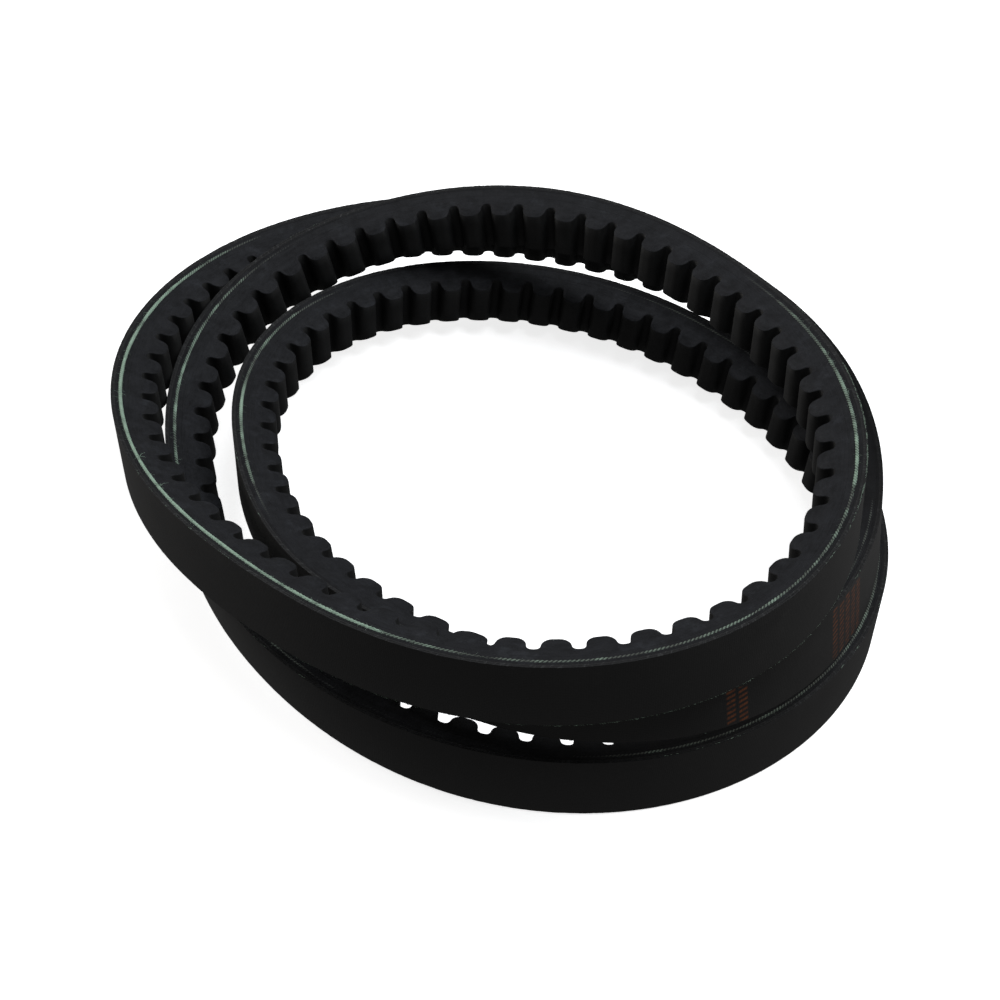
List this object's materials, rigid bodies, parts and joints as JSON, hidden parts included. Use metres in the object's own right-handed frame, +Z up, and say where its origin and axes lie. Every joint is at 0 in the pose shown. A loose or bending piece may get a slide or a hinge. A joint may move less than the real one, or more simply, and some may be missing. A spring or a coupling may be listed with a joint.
{
  "type": "v belt",
  "caption": "Endless raw-edge rubber V belt with moulded cogs on its inner side and a fabric back, laid on edge in a three-turn coil.",
  "frame": {"origin": "centre of the coil's bounding box, on the floor it stands on", "axes": "+Z up out of the floor, along the coil's axis; -Y towards the side where the top turn crosses the others"},
  "size_m": [0.1444, 0.1434, 0.0447],
  "materials": {
    "back_fabric": "matte rubbered canvas",
    "inner_fabric": "matte rubbered canvas",
    "cushion_rubber": "ground matte",
    "tensile_cord": "twisted fibre cord",
    "adhesion_gum": "ground matte",
    "cog_rubber": "ground matte flanks, smoother moulded cogs"
  },
  "bodies": {
    "root": {"outer_fabric_ply": "back_fabric", "inner_fabric_ply": "inner_fabric", "cushion_rubber": "cushion_rubber", "tensile_cord_1": "tensile_cord", "tensile_cord_2": "tensile_cord", "tensile_cord_3": "tensile_cord", "tensile_cord_4": "tensile_cord", "tensile_cord_5": "tensile_cord", "tensile_cord_6": "tensile_cord", "tensile_cord_7": "tensile_cord", "tensile_cord_8": "tensile_cord", "adhesion_gum": "adhesion_gum", "compression_rubber": "cog_rubber"}
  },
  "joints": []
}
